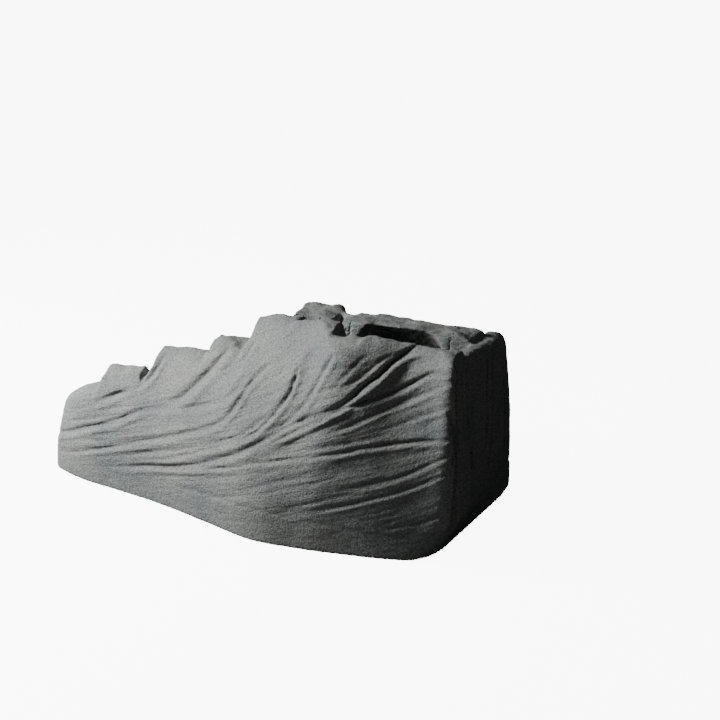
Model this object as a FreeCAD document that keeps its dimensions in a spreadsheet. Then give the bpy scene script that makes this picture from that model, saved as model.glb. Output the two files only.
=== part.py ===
import FreeCAD, Part
import math
import os
import Sketcher

# A hollow artificial rock: the spring head of a garden stream, moulded in sand-faced resin.
# The tall end is at +X, the low outlet end at -X and the front at -Y; the flat rim rests on z = 0.
# Water enters the spring pool through a flanged hose connector in an undercut niche, and runs
# down a terraced channel behind the front ridge to the outlet.  All sizes are in millimetres.

doc = FreeCAD.newDocument("stream_head")
sheet = doc.addObject("Spreadsheet::Sheet", "sizes")

SIZES = {
    "length": 904,
    "depth": 466,
    "height": 392,
    "wall": 6,
    "girth_height": 110,
    "front_lean": 62,
    "back_lean": 34,
    "end_lean": 8,
    "outlet_lean": 34,
    "corner_tuck": 44,
    "lip_drop": 10,
    "back_drop": 66,
    "reach": 262,
    "niche_left": 172,
    "niche_width": 176,
    "niche_floor": 226,
    "niche_height": 94,
    "niche_depth": 46,
    "hood_margin": 14,
    "hood_depth": 62,
    "port_x": 262,
    "port_height": 273,
    "flange_diameter": 56,
    "flange_thickness": 6,
    "flange_bevel": 2,
    "recess_diameter": 35,
    "recess_depth": 3,
    "step_diameter": 28,
    "step_depth": 12,
    "throat_diameter": 23.5,
    "throat_depth": 22,
    "bore_diameter": 19.6,
    "thread_diameter": 33.2,
    "thread_length": 32,
    "tail_wide_diameter": 32,
    "tail_wide_length": 20,
    "tail_slim_diameter": 25.4,
    "tail_slim_length": 24,
    "barb_height": 1,
    "barb_length": 6,
    "gasket_thickness": 2,
    "gasket_diameter": 50,
    "hole_diameter": 34,
    "backing_side": 84,
    "backing_thickness": 8,
    "washer_diameter": 46,
    "washer_thickness": 2,
    "nut_flats": 46,
    "nut_thickness": 11,
    "rib_thickness": 9,
    "rib_lift": 12,
    "rib_web": 34,
}

# The terraces from the outlet to the tall end.  Along X: the right edge.  Front ridge: its
# shoulder height, crest y and crest height.  Channel: near side, far side and floor height.
# Far rim: crest y and crest height.
TERRACE_SIZES = ("edge", "shoulder", "ridge_y", "ridge_z", "near", "far", "floor", "rim_y", "rim_z")
TERRACES = {
    "outlet": (-345, 128, -65, 174, -40, 42, 86, 58, 112),
    "lower": (-242, 150, -38, 220, -12, 72, 122, 90, 152),
    "middle": (-138, 176, -6, 270, 20, 104, 160, 126, 196),
    "upper": (-42, 206, 14, 312, 42, 128, 200, 152, 238),
    "bend": (88, 252, -4, 364, 28, 128, 246, 150, 282),
    "gate": (160, 318, -44, 386, -12, 76, 300, 100, 366),
    "pool": (398, 340, -98, 392, -66, 44, 226, 96, 346),
    "end": (460, 318, -110, 380, 0, 0, 372, 96, 322),
}
NAMES = tuple(TERRACES)
WATERED = NAMES[:-1]


def fill_sheet():
    """Write every size into the sheet, one named cell a row."""
    rows = dict(SIZES)
    for terrace, values in TERRACES.items():
        for size, value in zip(TERRACE_SIZES, values):
            rows[f"{terrace}_{size}"] = value
    for row, (alias, value) in enumerate(rows.items(), start=1):
        sheet.set(f"A{row}", alias)
        sheet.set(f"B{row}", str(value))
        sheet.setAlias(f"B{row}", alias)
    doc.recompute()


def size(formula):
    """The number, in millimetres, that a formula in the sheet's names comes to."""
    return float(sheet.evalExpression(formula))


def of(alias):
    return f"sizes.{alias}"


# --- Sketches and primitives bound to the sheet ---------------------------------------------

UP_FACING = FreeCAD.Rotation()
END_FACING = FreeCAD.Rotation(FreeCAD.Vector(1, 1, 1), 120)


def polygon(name, corners, rotation=UP_FACING, axis="z", level="0"):
    """A closed sketch whose corners are pairs of formulas, on a plane square to one axis."""
    sketch = doc.addObject("Sketcher::SketchObject", name)
    sketch.Placement = FreeCAD.Placement(FreeCAD.Vector(), rotation)
    sketch.setExpression(f"Placement.Base.{axis}", f"{level}")
    points = [FreeCAD.Vector(size(u), size(v), 0) for u, v in corners]
    count = len(points)
    for i in range(count):
        sketch.addGeometry(Part.LineSegment(points[i], points[(i + 1) % count]), False)
    for i in range(count):
        sketch.addConstraint(Sketcher.Constraint("Coincident", i, 2, (i + 1) % count, 1))
    for i, (u, v) in enumerate(corners):
        for kind, formula in (("DistanceX", u), ("DistanceY", v)):
            start = size(formula)
            index = sketch.addConstraint(Sketcher.Constraint(kind, -1, 1, i, 1, start))
            sketch.setExpression(f"Constraints[{index}]", formula)
    return sketch


def slice_along_x(name, corners, start, end):
    """A prism between two x formulas, with a cross-section given as (y, z) formulas."""
    sketch = polygon(f"{name}_section", corners, END_FACING, "x", start)
    prism = doc.addObject("Part::Extrusion", name)
    prism.Base = sketch
    prism.DirMode = "Normal"
    prism.Solid = True
    prism.setExpression("LengthFwd", f"{end} - ({start})")
    return prism


def block(name, low, high):
    """A box between two corners given as (x, y, z) formulas."""
    box = doc.addObject("Part::Box", name)
    for side, axis, start, end in zip(("Length", "Width", "Height"), "xyz", low, high):
        box.setExpression(side, f"{end} - ({start})")
        box.setExpression(f"Placement.Base.{axis}", start)
    return box


def rod(name, diameter, length, y):
    """A cylinder on the port's axis, which runs along +Y from the given y."""
    cylinder = doc.addObject("Part::Cylinder", name)
    cylinder.Placement = FreeCAD.Placement(FreeCAD.Vector(), FreeCAD.Rotation(FreeCAD.Vector(1, 0, 0), -90))
    cylinder.setExpression("Radius", f"({diameter}) / 2")
    cylinder.setExpression("Height", length)
    on_port_axis(cylinder, y)
    return cylinder


def cone(name, start_diameter, end_diameter, length, y):
    taper = doc.addObject("Part::Cone", name)
    taper.Placement = FreeCAD.Placement(FreeCAD.Vector(), FreeCAD.Rotation(FreeCAD.Vector(1, 0, 0), -90))
    taper.setExpression("Radius1", f"({start_diameter}) / 2")
    taper.setExpression("Radius2", f"({end_diameter}) / 2")
    taper.setExpression("Height", length)
    on_port_axis(taper, y)
    return taper


def on_port_axis(thing, y):
    thing.setExpression("Placement.Base.x", of("port_x"))
    thing.setExpression("Placement.Base.y", y)
    thing.setExpression("Placement.Base.z", of("port_height"))


def joined(name, shapes):
    fuse = doc.addObject("Part::MultiFuse", name)
    fuse.Shapes = shapes
    return fuse


def shared(name, shapes):
    common = doc.addObject("Part::MultiCommon", name)
    common.Shapes = shapes
    return common


def cut(name, base, tool):
    difference = doc.addObject("Part::Cut", name)
    difference.Base = base
    difference.Tool = tool
    return difference


# --- The plan outline -----------------------------------------------------------------------

# Corners of the plan at its widest, as parts of the length and depth from the centre, with the
# side that each leans with and how much of the base tuck it takes.
OUTLINE = (
    (0.500, -0.150, "end_lean", 0.15),
    (0.500, 0.370, "end_lean", 0.0),
    (0.472, 0.486, "back_lean", 0.0),
    (0.300, 0.500, "back_lean", 0.0),
    (0.070, 0.468, "back_lean", 0.0),
    (-0.170, 0.396, "back_lean", 0.0),
    (-0.370, 0.290, "back_lean", 0.0),
    (-0.484, 0.186, "outlet_lean", 0.0),
    (-0.500, 0.000, "outlet_lean", 0.0),
    (-0.497, -0.195, "outlet_lean", 0.0),
    (-0.455, -0.256, "front_lean", 0.0),
    (-0.332, -0.328, "front_lean", 0.0),
    (-0.200, -0.362, "front_lean", 0.0),
    (-0.050, -0.445, "front_lean", 0.0),
    (0.085, -0.500, "front_lean", 0.0),
    (0.192, -0.468, "front_lean", 0.0),
    (0.300, -0.432, "front_lean", 0.1),
    (0.420, -0.404, "front_lean", 0.5),
    (0.482, -0.372, "end_lean", 1.0),
    (0.499, -0.310, "end_lean", 0.8),
)


def inward(i):
    """Unit vector pointing into the plan at one of its corners."""
    before = OUTLINE[i - 1]
    after = OUTLINE[(i + 1) % len(OUTLINE)]
    along_x = size("sizes.length") * (after[0] - before[0])
    along_y = size("sizes.depth") * (after[1] - before[1])
    span = math.hypot(along_x, along_y)
    return -along_y / span, along_x / span


def outline(name, level, rise, tucked, inset):
    """The plan at one level: leaned in by a part of the full lean, and inset by a formula."""
    corners = []
    for i, (u, v, lean, tuck) in enumerate(OUTLINE):
        nx, ny = inward(i)
        shift = f"({inset} + sizes.{lean} * {rise} + sizes.corner_tuck * {tuck * tucked:.2f})"
        x = f"sizes.length * {u} + {nx:.4f} * {shift}"
        y = f"sizes.depth * {v} + {ny:.4f} * {shift}"
        corners.append((x, y))
    return polygon(name, corners, level=level)


def leaning_body(name, inset, bottom):
    """The whole rock's outer form, drawn in by the inset, before its top is shaped."""
    body = doc.addObject("Part::Loft", name)
    body.Sections = [
        outline(f"{name}_base", bottom, "0", 1, inset),
        outline(f"{name}_girth", of("girth_height"), "0.1", 0, inset),
        outline(f"{name}_crown", of("height"), "1", 0, inset),
    ]
    body.Solid = True
    body.Ruled = True
    return body


# --- The moulded rock -----------------------------------------------------------------------


def left_edge(i):
    return "-sizes.length / 2 - 8" if i == 0 else of(f"{NAMES[i - 1]}_edge")


def section(i, inset):
    """One terrace's cross-section, or that of the hollow inside it, as (y, z) formulas."""
    name = NAMES[i]
    value = {key: of(f"{name}_{key}") for key in TERRACE_SIZES}
    ridge = f"{value['ridge_z']} - {inset}"
    rim = f"{value['rim_z']} - {inset}"
    corners = [
        ("-sizes.reach", "-1"),
        ("-sizes.reach", f"{value['shoulder']} - {inset} * 1.2"),
        (value["ridge_y"], ridge),
    ]
    if name in WATERED:
        floor = f"{value['floor']} - {inset}"
        near = f"{value['near']} - {inset}"
        far = f"{value['far']} + {inset}"
        lip = f"{ridge} - sizes.lip_drop"
        far_lip = f"{rim} - sizes.lip_drop"
        corners += [(near, lip), (near, floor), (far, floor), (far, far_lip)]
    corners += [
        (value["rim_y"], rim),
        ("sizes.reach", f"{rim} - sizes.back_drop"),
        ("sizes.reach", "-1"),
    ]
    return corners


def rock_terrace(i):
    return slice_along_x(f"rock_{NAMES[i]}", section(i, "0"), left_edge(i), of(f"{NAMES[i]}_edge"))


def room(i):
    """The hollow under one terrace, a wall's thickness clear of its two ends."""
    start = f"{left_edge(i)} + sizes.wall"
    end = f"{of(NAMES[i] + '_edge')} - sizes.wall"
    return slice_along_x(f"room_{NAMES[i]}", section(i, "sizes.wall"), start, end)


def passage(i):
    """The hollow across the step from one terrace to the next: what clears both of them."""
    name = NAMES[i]
    edge = of(f"{NAMES[i - 1]}_edge")
    start = f"{edge} - sizes.wall"
    end = f"{edge} + sizes.wall"
    below = slice_along_x(f"passage_below_{name}", section(i - 1, "sizes.wall"), start, end)
    above = slice_along_x(f"passage_above_{name}", section(i, "sizes.wall"), start, end)
    return shared(f"passage_{name}", [below, above])


def niche_block(name, margin):
    """The undercut spring niche, behind the pool's far wall."""
    low = (
        f"sizes.niche_left - {margin}",
        f"sizes.pool_far - 1 - {margin}",
        f"sizes.niche_floor - {margin}",
    )
    high = (
        f"sizes.niche_left + sizes.niche_width + {margin}",
        f"sizes.pool_far + sizes.niche_depth + {margin}",
        f"sizes.niche_floor + sizes.niche_height + {margin}",
    )
    return block(name, low, high)


def moulding():
    """The rock as one thin-walled form: outer walls, ridge, terraced channel and niche."""
    solid = joined("rock_terraces", [rock_terrace(i) for i in range(len(NAMES))])
    rock = shared("rock_form", [solid, leaning_body("rock_body", "0", "0")])
    rooms = [room(i) for i in range(len(NAMES))]
    ways = [passage(i) for i in range(1, len(NAMES))]
    inner_body = leaning_body("hollow_body", "sizes.wall", "-1")
    hollow = shared("hollow_form", [joined("hollow_terraces", rooms + ways), inner_body])
    hollow = cut("hollow", hollow, niche_block("niche_surround", "sizes.wall"))
    rock = cut("rock_with_niche", rock, niche_block("niche", "0"))
    wall_start = "sizes.pool_far + sizes.niche_depth - 1"
    port_hole = rod("port_hole", of("hole_diameter"), "sizes.wall + 2", wall_start)
    rock = cut("rock_with_port", rock, port_hole)
    return cut("moulding", rock, hollow), hollow


def tray_region():
    """The space that the stream tray's walls, floors and risers take up."""
    parts = []
    for i, name in enumerate(WATERED):
        near = f"{of(name + '_near')} - sizes.wall"
        far = f"{of(name + '_far')} + sizes.wall"
        middle = f"({of(name + '_near')} + {of(name + '_far')}) / 2"
        near_top = f"{of(name + '_ridge_z')} - sizes.lip_drop - sizes.wall"
        far_top = f"{of(name + '_rim_z')} - sizes.lip_drop - sizes.wall"
        bottom = f"{of(name + '_floor')} - sizes.wall"
        corners = [
            (near, bottom),
            (far, bottom),
            (far, far_top),
            (middle, far_top),
            (middle, near_top),
            (near, near_top),
        ]
        start = f"{left_edge(i)} - sizes.wall"
        end = f"{of(name + '_edge')} + sizes.wall"
        parts.append(slice_along_x(f"space_{name}", corners, start, end))
    parts.append(niche_block("space_niche", "sizes.wall"))
    return joined("tray_region", parts)


def tray_parts(tray):
    """The tray, parted at each step's face, and between the pool and its far wall with the niche."""
    parts = {}
    for i, name in enumerate(WATERED):
        left = "-sizes.length" if i == 0 else left_edge(i)
        right = "sizes.length" if name == "pool" else of(f"{name}_edge")
        far = "sizes.pool_far" if name == "pool" else "sizes.reach"
        span = block(f"span_{name}", (left, "-sizes.reach", "0"), (right, far, "sizes.length"))
        parts[f"tray_{name}"] = shared(f"tray_{name}", [tray, span])
    low = (of("gate_edge"), "sizes.pool_far", "0")
    span = block("span_niche", low, ("sizes.length", "sizes.reach", "sizes.length"))
    parts["tray_niche"] = shared("tray_niche", [tray, span])
    return parts


def hood_region():
    low = (
        "sizes.niche_left - sizes.hood_margin",
        "sizes.pool_far - 1",
        "sizes.niche_floor + sizes.niche_height",
    )
    high = (
        "sizes.niche_left + sizes.niche_width + sizes.hood_margin",
        "sizes.pool_far + sizes.hood_depth",
        "sizes.height + 10",
    )
    return block("hood_region", low, high)


# --- The hose connector and its fixings -----------------------------------------------------

NICHE_WALL = "sizes.pool_far + sizes.niche_depth"
FLANGE_BACK = f"{NICHE_WALL} - sizes.gasket_thickness"
FLANGE_FRONT = f"{FLANGE_BACK} - sizes.flange_thickness"
BACKING_FACE = f"{NICHE_WALL} + sizes.wall"
WASHER_FACE = f"{BACKING_FACE} + sizes.backing_thickness"
NUT_FACE = f"{WASHER_FACE} + sizes.washer_thickness"
TAIL_START = f"{FLANGE_BACK} + sizes.thread_length"
BARBS = 3


def hose_connector():
    """Flanged spring outlet with a threaded shank and a hose tail in two sizes."""
    bevel_end = f"{FLANGE_FRONT} + sizes.flange_bevel"
    face = "sizes.flange_diameter - 2 * sizes.flange_bevel"
    plate = "sizes.flange_thickness - sizes.flange_bevel"
    solids = [
        cone("flange_bevel_ring", face, of("flange_diameter"), of("flange_bevel"), FLANGE_FRONT),
        rod("flange_plate", of("flange_diameter"), plate, bevel_end),
        rod("shank", of("thread_diameter"), of("thread_length"), FLANGE_BACK),
    ]
    wide = of("tail_wide_diameter")
    core = f"{wide} - 2 * sizes.barb_height"
    slim_start = f"{TAIL_START} + sizes.tail_wide_length"
    solids.append(rod("tail_wide", core, of("tail_wide_length"), TAIL_START))
    for turn in range(BARBS):
        barb_start = f"{slim_start} - {turn + 1} * sizes.barb_length"
        solids.append(cone(f"barb_{turn + 1}", wide, core, of("barb_length"), barb_start))
    solids.append(rod("tail_slim", of("tail_slim_diameter"), of("tail_slim_length"), slim_start))
    body = joined("connector_blank", solids)
    bores = [
        rod("recess", of("recess_diameter"), "sizes.recess_depth + 1", f"{FLANGE_FRONT} - 1"),
        rod("bore_step", of("step_diameter"), "sizes.step_depth + 1", f"{FLANGE_FRONT} - 1"),
        rod("throat", of("throat_diameter"), "sizes.throat_depth + 1", f"{FLANGE_FRONT} - 1"),
        rod("through_bore", of("bore_diameter"), "sizes.reach", f"{FLANGE_FRONT} - 1"),
    ]
    return cut("hose_connector", body, joined("connector_bores", bores))


def ring(name, outer, inner, thickness, y):
    disc = rod(f"{name}_disc", outer, thickness, y)
    hole = rod(f"{name}_hole", inner, f"{thickness} + 2", f"{y} - 1")
    return cut(name, disc, hole)


def backing_plate():
    half = "sizes.backing_side / 2"
    low = (f"sizes.port_x - {half}", BACKING_FACE, f"sizes.port_height - {half}")
    high = (f"sizes.port_x + {half}", WASHER_FACE, f"sizes.port_height + {half}")
    plate = block("backing_blank", low, high)
    hole = rod("backing_hole", of("hole_diameter"), "sizes.backing_thickness + 2", f"{BACKING_FACE} - 1")
    return cut("backing_plate", plate, hole)


def lock_nut():
    """Hexagon nut run up the shank behind the backing plate."""
    hexagon = doc.addObject("Part::Prism", "nut_blank")
    hexagon.Polygon = 6
    hexagon.Placement = FreeCAD.Placement(FreeCAD.Vector(), FreeCAD.Rotation(FreeCAD.Vector(1, 0, 0), -90))
    hexagon.setExpression("Circumradius", "sizes.nut_flats / sqrt(3)")
    hexagon.setExpression("Height", of("nut_thickness"))
    on_port_axis(hexagon, NUT_FACE)
    hole = rod("nut_hole", of("thread_diameter"), "sizes.nut_thickness + 2", f"{NUT_FACE} - 1")
    return cut("lock_nut", hexagon, hole)


# --- Stiffening ribs under the tray ---------------------------------------------------------

RIBS = {"rib_outlet": "lower", "rib_middle": "upper", "rib_pool": "pool"}


def rib(name, terrace_name, hollow):
    """A web across the hollow, from side wall to side wall and up to the tray's floor."""
    right = f"{of(terrace_name + '_edge')} - 4 * sizes.wall"
    left = f"{right} - sizes.rib_thickness"
    top = f"{of(terrace_name + '_floor')} - sizes.wall"
    slab = block(f"{name}_slab", (left, "-sizes.reach", of("rib_lift")), (right, "sizes.reach", top))
    blank = shared(f"{name}_blank", [slab, hollow])
    near = f"{of(terrace_name + '_near')} - sizes.rib_web"
    far = f"{of(terrace_name + '_far')} + sizes.rib_web"
    low = (f"{left} - 1", near, "0")
    high = (f"{right} + 1", far, f"{top} - sizes.rib_web")
    return cut(name, blank, block(f"{name}_arch", low, high))


# --- Assembly and output --------------------------------------------------------------------


def build():
    whole, hollow = moulding()
    hood_space = hood_region()
    tray_space = cut("tray_space", tray_region(), hood_space)
    parts = {
        **tray_parts(shared("tray", [whole, tray_space])),
        "niche_hood": shared("niche_hood", [whole, hood_space]),
        "hose_connector": hose_connector(),
        "flange_gasket": ring(
            "flange_gasket", of("gasket_diameter"), of("thread_diameter"), of("gasket_thickness"), FLANGE_BACK
        ),
        "backing_plate": backing_plate(),
        "rear_washer": ring(
            "rear_washer", of("washer_diameter"), of("hole_diameter"), of("washer_thickness"), WASHER_FACE
        ),
        "lock_nut": lock_nut(),
    }
    rest = cut("shell_with_hood", whole, tray_space)
    parts["rock_shell"] = cut("rock_shell", rest, hood_space)
    for name, terrace_name in RIBS.items():
        parts[name] = rib(name, terrace_name, hollow)
    doc.recompute()
    return parts


def check_and_export(parts):
    for thing in doc.Objects:
        if "Invalid" in thing.State or "Error" in thing.State:
            raise RuntimeError(f"{thing.Name} did not compute: {thing.State}")
    for name, part in parts.items():
        part.Label = name
        if part.Shape.isNull() or not part.Shape.isValid():
            raise RuntimeError(f"{name} has no valid shape")
    os.makedirs("parts", exist_ok=True)
    for name, part in parts.items():
        part.Shape.exportStep(f"parts/{name}.step")
        print(f"{name}: {len(part.Shape.Solids)} solid(s), {part.Shape.Volume / 1000:.1f} cm3")


fill_sheet()
check_and_export(build())
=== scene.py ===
import math

import bpy
import numpy as np
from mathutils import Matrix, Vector


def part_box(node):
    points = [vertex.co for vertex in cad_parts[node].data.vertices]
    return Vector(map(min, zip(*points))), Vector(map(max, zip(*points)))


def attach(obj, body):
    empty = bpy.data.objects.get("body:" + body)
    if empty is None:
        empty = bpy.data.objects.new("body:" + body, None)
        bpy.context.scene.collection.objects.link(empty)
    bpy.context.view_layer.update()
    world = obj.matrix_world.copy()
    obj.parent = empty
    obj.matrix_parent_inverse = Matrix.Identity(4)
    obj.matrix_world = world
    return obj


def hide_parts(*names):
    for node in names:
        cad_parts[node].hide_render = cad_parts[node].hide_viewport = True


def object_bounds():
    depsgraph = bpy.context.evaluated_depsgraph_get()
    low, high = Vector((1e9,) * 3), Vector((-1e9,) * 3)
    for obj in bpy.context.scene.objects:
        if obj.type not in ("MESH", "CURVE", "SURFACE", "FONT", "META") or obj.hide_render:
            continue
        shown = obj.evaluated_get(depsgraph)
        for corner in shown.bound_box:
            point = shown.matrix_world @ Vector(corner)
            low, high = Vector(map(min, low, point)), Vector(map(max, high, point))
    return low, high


# An artificial rock that starts a garden stream.  The CAD model gives its size and its fittings;
# here the rock's faces are shaped as a solid field on a grid, turned into meshes and worked over
# with folds, grooves and grain.  All sizes are in metres, in the frame of the CAD model.

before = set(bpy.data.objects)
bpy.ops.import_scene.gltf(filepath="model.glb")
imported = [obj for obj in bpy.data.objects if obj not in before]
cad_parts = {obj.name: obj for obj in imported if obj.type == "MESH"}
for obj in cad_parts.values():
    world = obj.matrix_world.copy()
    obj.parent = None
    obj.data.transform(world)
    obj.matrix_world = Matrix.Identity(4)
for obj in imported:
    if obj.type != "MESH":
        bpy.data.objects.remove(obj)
CAD_LOW, CAD_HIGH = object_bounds()

GRID = 0.003
WALL = 0.006
SEED = 7


# --- Noise and curves -----------------------------------------------------------------------


def smoothstep(low, high, value):
    t = np.clip((value - low) / (high - low), 0, 1)
    return t * t * (3 - 2 * t)


def smooth_max(a, b, radius):
    """The larger of two fields, rounded off where they meet."""
    blend = np.maximum(radius - np.abs(a - b), 0) / radius
    return np.maximum(a, b) + blend * blend * radius / 4


def perlin(points, scale, seed):
    """Gradient noise, about -1 to 1, at points of shape (n, 3)."""
    rng = np.random.default_rng(seed)
    order = rng.permutation(256)
    slopes = rng.normal(size=(256, 3))
    slopes /= np.linalg.norm(slopes, axis=1, keepdims=True)
    spot = points / scale + rng.uniform(10, 90, 3)
    cell = np.floor(spot).astype(np.int64)
    part = spot - cell
    ease = part ** 3 * (part * (part * 6 - 15) + 10)
    total = np.zeros(len(points))
    for dx in (0, 1):
        for dy in (0, 1):
            for dz in (0, 1):
                key = order[(cell[:, 0] + dx) & 255]
                key = order[(key + cell[:, 1] + dy) & 255]
                key = order[(key + cell[:, 2] + dz) & 255]
                offset = part - (dx, dy, dz)
                weight = (
                    np.where(dx, ease[:, 0], 1 - ease[:, 0])
                    * np.where(dy, ease[:, 1], 1 - ease[:, 1])
                    * np.where(dz, ease[:, 2], 1 - ease[:, 2])
                )
                total += weight * np.einsum("ij,ij->i", slopes[key], offset)
    return total * 1.5


def fractal(points, scale, octaves, seed):
    total = np.zeros(len(points))
    for octave in range(octaves):
        total += perlin(points, scale / 2 ** octave, seed + octave) / 2 ** octave
    return total


def plan_noise(x, y, scale, octaves, seed):
    """Fractal noise over a plan grid."""
    flat = np.stack([x.ravel(), y.ravel(), np.zeros(x.size)], axis=1)
    return fractal(flat, scale, octaves, seed).reshape(x.shape)


def curve_through(points):
    """A smooth function through (position, value) pairs."""
    spots = np.array([p[0] for p in points], float)
    values = np.array([p[1] for p in points], float)
    steps = np.diff(values) / np.diff(spots)
    slopes = np.empty_like(values)
    slopes[1:-1] = (steps[1:] + steps[:-1]) / 2
    slopes[0], slopes[-1] = steps[0], steps[-1]

    def at(x):
        x = np.asarray(x, float)
        i = np.clip(np.searchsorted(spots, x) - 1, 0, len(spots) - 2)
        span = spots[i + 1] - spots[i]
        t = np.clip((x - spots[i]) / span, 0, 1)
        a = values[i] * (1 + 2 * t) * (1 - t) ** 2 + slopes[i] * span * t * (1 - t) ** 2
        b = values[i + 1] * t * t * (3 - 2 * t) + slopes[i + 1] * span * t * t * (t - 1)
        return a + b

    return at


# --- The rock's form ------------------------------------------------------------------------

# Foot of the front, from the outlet end to the tall end: (x, y).
FOOT = curve_through([
    (-0.462, -0.088), (-0.430, -0.104), (-0.372, -0.125), (-0.280, -0.141), (-0.190, -0.156),
    (-0.056, -0.191), (0.066, -0.223), (0.164, -0.219), (0.260, -0.206), (0.336, -0.192),
    (0.400, -0.176), (0.470, -0.160),
])
# The ridge that the front leans back to: (x, y) and (x, z).
RIDGE_Y = curve_through([
    (-0.462, -0.030), (-0.400, -0.070), (-0.300, -0.036), (-0.190, 0.004), (-0.090, 0.014), (0.020, 0.004),
    (0.130, -0.040), (0.200, -0.112), (0.270, -0.104), (0.332, -0.084), (0.390, -0.104), (0.430, -0.135),
    (0.470, -0.150),
])
RIDGE_Z = curve_through([
    (-0.462, 0.160), (-0.400, 0.172), (-0.300, 0.222), (-0.190, 0.272), (-0.090, 0.316), (0.020, 0.364),
    (0.130, 0.388), (0.200, 0.386), (0.332, 0.390), (0.430, 0.382), (0.470, 0.376),
])
# Foot of the back: (x, y).
BACK = curve_through([
    (-0.462, 0.070), (-0.440, 0.090), (-0.330, 0.134), (-0.150, 0.184), (0.060, 0.217), (0.270, 0.230),
    (0.420, 0.228), (0.470, 0.222),
])
# Crest of the far rim: (x, y) and (x, z).
RIM_Y = curve_through([
    (-0.462, 0.052), (-0.400, 0.060), (-0.290, 0.092), (-0.190, 0.128), (-0.090, 0.150), (0.020, 0.150),
    (0.110, 0.112), (0.260, 0.098), (0.430, 0.100),
])
RIM_Z = curve_through([
    (-0.462, 0.104), (-0.400, 0.112), (-0.290, 0.150), (-0.190, 0.194), (-0.090, 0.236), (0.020, 0.280),
    (0.080, 0.344), (0.120, 0.358), (0.170, 0.360), (0.300, 0.356), (0.430, 0.338),
])

# Terraces of the channel from the outlet up: right edge x, near side y, far side y, floor z.
TERRACES = (
    (-0.345, -0.040, 0.042, 0.086),
    (-0.242, -0.012, 0.072, 0.122),
    (-0.138, 0.020, 0.104, 0.160),
    (-0.042, 0.042, 0.128, 0.200),
    (0.088, 0.028, 0.128, 0.246),
    (0.160, -0.012, 0.076, 0.300),
    (0.398, -0.066, 0.044, 0.226),
)

# Boulders along the ridge, the rim and the ends: centre x, y, half sizes x, y, top z, tilt along
# x and y, turn in degrees.
BOULDERS = (
    (-0.386, -0.102, 0.058, 0.072, 0.174, 0.26, 0.00, 6),
    (-0.296, -0.112, 0.044, 0.098, 0.226, 0.10, 0.00, 5),
    (-0.182, -0.095, 0.056, 0.112, 0.271, 0.00, 0.00, 0),
    (-0.080, -0.090, 0.042, 0.130, 0.300, 0.00, 0.00, 0),
    (0.030, -0.102, 0.048, 0.128, 0.366, 0.03, 0.00, 4),
    (0.122, -0.116, 0.050, 0.098, 0.386, 0.00, 0.00, 0),
    (0.215, -0.165, 0.060, 0.092, 0.384, 0.03, 0.00, 0),
    (0.335, -0.150, 0.095, 0.080, 0.389, 0.00, 0.00, 0),
    (0.430, 0.030, 0.030, 0.240, 0.356, 0.00, -0.16, 0),
    (0.066, 0.108, 0.040, 0.044, 0.352, -0.02, 0.00, 6),
    (0.270, 0.092, 0.128, 0.046, 0.356, -0.01, -0.15, 0),
    (0.020, 0.172, 0.070, 0.036, 0.282, 0.10, 0.00, 0),
    (-0.090, 0.166, 0.050, 0.032, 0.238, 0.05, 0.00, 0),
    (-0.190, 0.142, 0.052, 0.032, 0.196, 0.05, 0.00, 0),
    (-0.293, 0.108, 0.052, 0.030, 0.152, 0.05, 0.00, 0),
    (-0.400, 0.078, 0.056, 0.028, 0.112, 0.05, 0.00, 0),
)

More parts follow.
